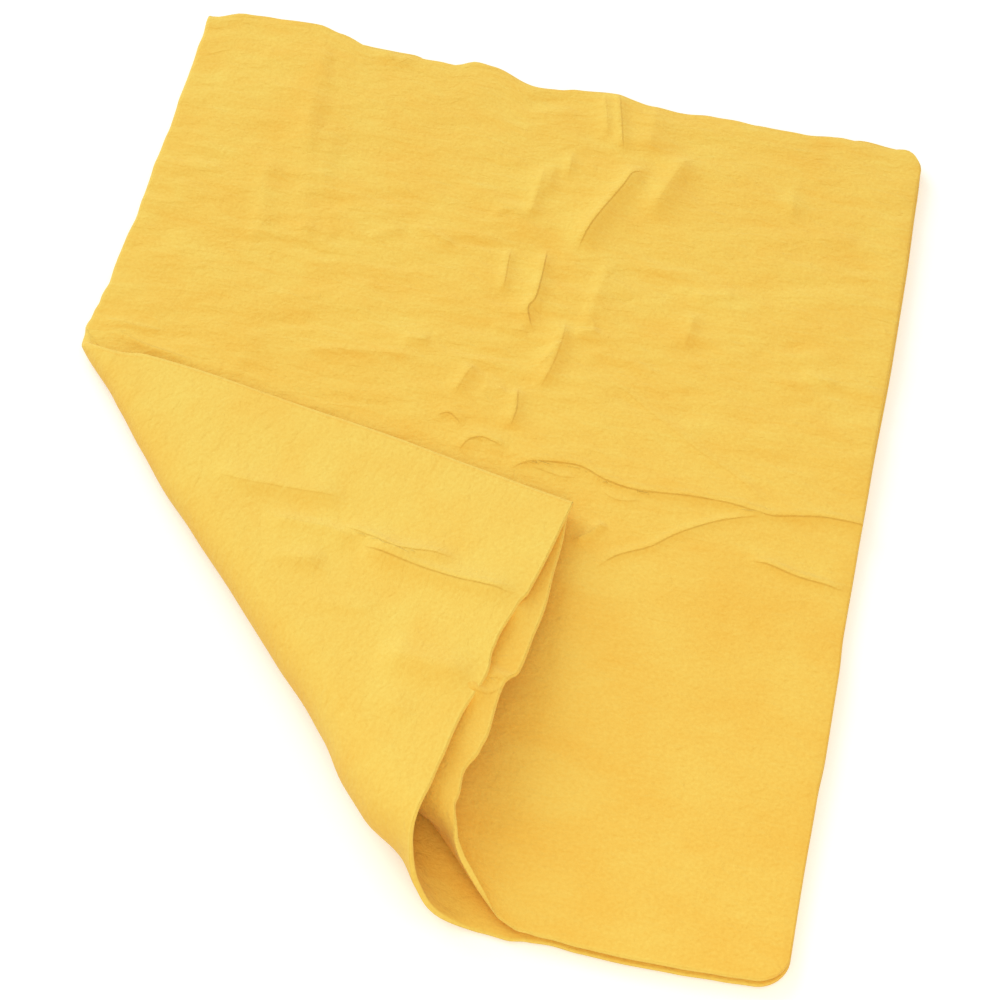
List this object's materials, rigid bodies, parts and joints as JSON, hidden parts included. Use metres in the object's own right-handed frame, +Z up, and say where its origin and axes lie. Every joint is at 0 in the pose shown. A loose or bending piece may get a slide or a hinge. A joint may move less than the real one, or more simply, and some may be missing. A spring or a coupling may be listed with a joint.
{
  "type": "drying cloth",
  "caption": "Soft sponge-like drying cloth, folded double and laid flat, with its lower left corner turned over in a loose roll that widens towards the bottom edge.",
  "frame": {"origin": "middle of the folded cloth's footprint, on the underside of its back half", "axes": "+Z up off the surface it lies on; +Y along the half fold to the top edge; +X from the half fold to the free side"},
  "size_m": [0.3324, 0.41, 0.0299],
  "materials": {
    "sponge_sheet": "matte, faint soft nap"
  },
  "bodies": {
    "laid_cloth": {"back_half": "sponge_sheet", "front_half": "sponge_sheet", "half_fold": "sponge_sheet"},
    "roll_strip_1": {"roll_outer_layer_1": "sponge_sheet", "roll_inner_layer_1": "sponge_sheet", "roll_half_fold_1": "sponge_sheet"},
    "roll_strip_2": {"roll_outer_layer_2": "sponge_sheet", "roll_inner_layer_2": "sponge_sheet", "roll_half_fold_2": "sponge_sheet"},
    "roll_strip_3": {"roll_outer_layer_3": "sponge_sheet", "roll_inner_layer_3": "sponge_sheet", "roll_half_fold_3": "sponge_sheet"},
    "roll_strip_4": {"roll_outer_layer_4": "sponge_sheet", "roll_inner_layer_4": "sponge_sheet", "roll_half_fold_4": "sponge_sheet"},
    "turned_corner": {"turned_corner_outer_layer": "sponge_sheet", "turned_corner_inner_layer": "sponge_sheet", "turned_corner_half_fold": "sponge_sheet"},
    "free_side": {"front_half_free_side": "sponge_sheet"}
  },
  "joints": [
    {"name": "corner_turn", "type": "hinge", "parent": "laid_cloth", "child": "roll_strip_1", "pos_m": [-0.05669, -0.0923, 0.00055], "axis": [0.6811, -0.7322, 0.0019], "range_deg": [0, 37]},
    {"name": "roll_bend_2", "type": "hinge", "parent": "roll_strip_1", "child": "roll_strip_2", "pos_m": [-0.0607, -0.09592, 0.00462], "axis": [0.6672, -0.7447, 0.016], "range_deg": [0, 37]},
    {"name": "roll_bend_3", "type": "hinge", "parent": "roll_strip_2", "child": "roll_strip_3", "pos_m": [-0.06221, -0.09702, 0.01112], "axis": [0.6619, -0.7486, 0.0385], "range_deg": [0, 37]},
    {"name": "roll_bend_4", "type": "hinge", "parent": "roll_strip_3", "child": "roll_strip_4", "pos_m": [-0.0606, -0.09517, 0.01743], "axis": [0.6675, -0.7422, 0.0603], "range_deg": [0, 37]},
    {"name": "roll_bend_5", "type": "hinge", "parent": "roll_strip_4", "child": "turned_corner", "pos_m": [-0.05653, -0.09112, 0.021], "axis": [0.6816, -0.7281, 0.0726], "range_deg": [0, 37]},
    {"name": "front_lift", "type": "hinge", "parent": "laid_cloth", "child": "free_side", "pos_m": [0.08951, 0, 0.0043], "axis": [0, -1, 0], "range_deg": [0, 110]}
  ],
  "couplings": [
    {"joint": "roll_bend_2", "follows": "corner_turn", "ratio": 1},
    {"joint": "roll_bend_3", "follows": "corner_turn", "ratio": 1},
    {"joint": "roll_bend_4", "follows": "corner_turn", "ratio": 1},
    {"joint": "roll_bend_5", "follows": "corner_turn", "ratio": 1}
  ]
}
